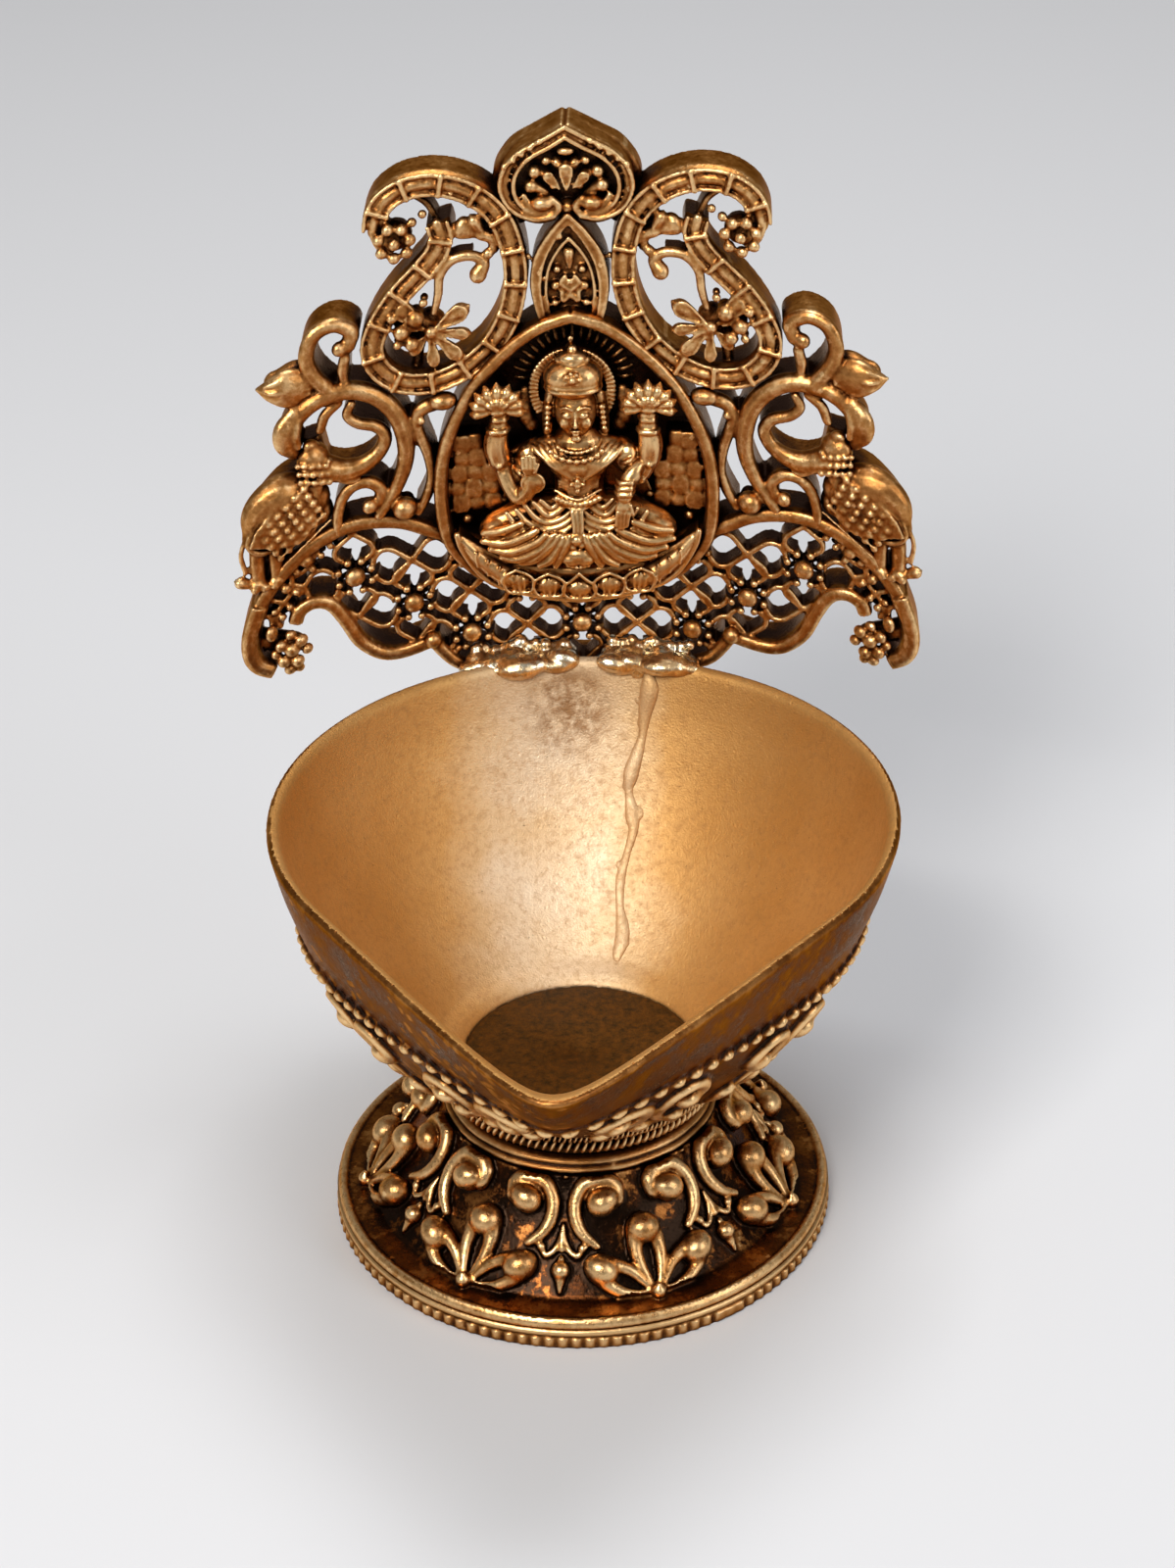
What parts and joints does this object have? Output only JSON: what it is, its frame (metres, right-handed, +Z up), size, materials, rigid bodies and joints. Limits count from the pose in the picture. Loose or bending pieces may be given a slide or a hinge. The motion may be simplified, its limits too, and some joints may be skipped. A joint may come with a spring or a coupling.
{
  "type": "diya oil lamp",
  "caption": "Brass diya oil lamp: a lipped oil cup on a domed foot, with a curved openwork back plate that carries a seated deity in a pointed medallion",
  "frame": {"origin": "centre of the flat ring that the foot rests on", "axes": "+Z up, the pouring lip points along -Y, the back plate stands at +Y and faces the lip"},
  "size_m": [0.0708, 0.0878, 0.1065],
  "materials": {
    "antique_brass": "antique gold brass, dark patina left in the hollows and polished off the high relief",
    "bowl_brass": "satin brass, pitted and stained inside the bowl, darker on its floor",
    "solder": "lumpy hand-run brazing, brighter than the castings round it"
  },
  "bodies": {
    "root": {"foot_shell": "antique_brass", "foot_milled_band": "antique_brass", "waist_collar": "antique_brass", "lower_rope_ring": "antique_brass", "upper_rope_ring": "antique_brass", "cup_base": "bowl_brass", "cup_wall": "bowl_brass", "cup_seam_solder": "solder", "jali_crescent": "antique_brass", "medallion_frame": "antique_brass", "deity_figure": "antique_brass", "lotus_seat": "antique_brass", "pointed_arch_panel": "antique_brass", "finial_crest": "antique_brass", "ribbon_scroll_left": "antique_brass", "ribbon_scroll_right": "antique_brass", "wing_scroll_left": "antique_brass", "wing_scroll_right": "antique_brass", "elephant_left": "antique_brass", "elephant_right": "antique_brass", "plate_solder_left": "solder", "plate_solder_right": "solder"}
  },
  "joints": []
}
